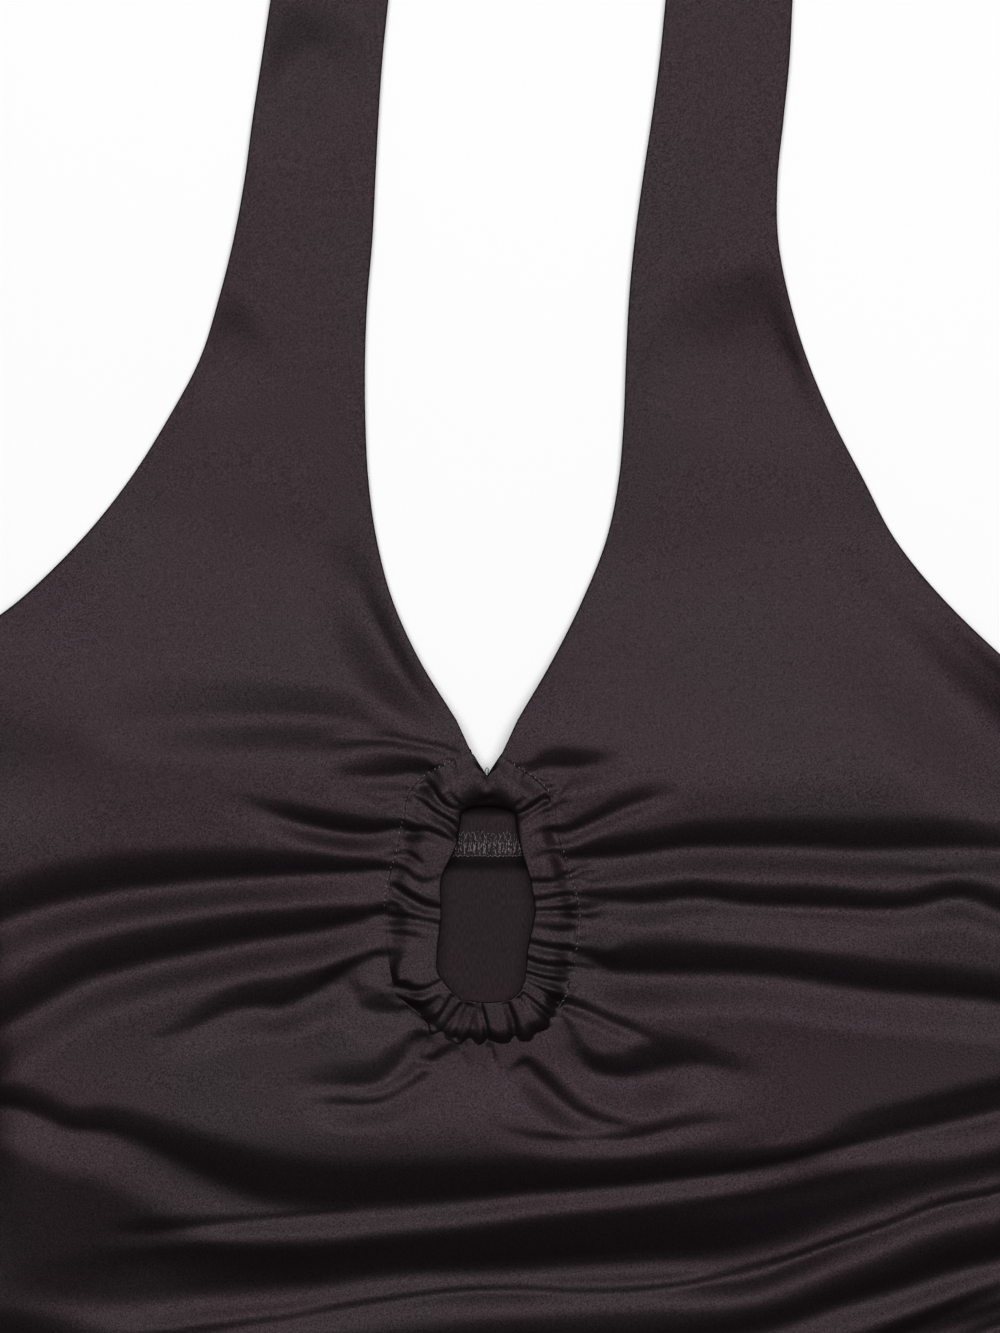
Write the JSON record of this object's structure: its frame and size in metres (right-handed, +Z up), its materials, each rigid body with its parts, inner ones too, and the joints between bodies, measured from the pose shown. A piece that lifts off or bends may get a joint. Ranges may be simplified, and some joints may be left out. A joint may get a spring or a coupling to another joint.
{
  "type": "halter neck bodysuit",
  "caption": "Halter neck bodysuit in black satin knit, ruched body, gathered keyhole under a deep V, snap crotch, laid flat.",
  "frame": {"origin": "centre of the bounding box in X and Y, on the surface the garment is laid on", "axes": "+Y from the crotch to the neck loop, +X towards the wearer's left side, +Z up off the table, out of the front"},
  "size_m": [0.35, 0.772, 0.0132],
  "materials": {
    "satin": "soft satin knit, near black",
    "back_cloth": "satin knit, near black, wrong side out where it shows",
    "popper": "gunmetal"
  },
  "bodies": {
    "root": {"front": "satin", "back": "back_cloth", "keyhole_casing": "satin", "gusset": "satin", "popper_cap_1": "popper", "popper_cap_2": "popper", "popper_cap_3": "popper", "popper_socket_1": "popper", "popper_socket_2": "popper", "popper_socket_3": "popper"}
  },
  "joints": []
}
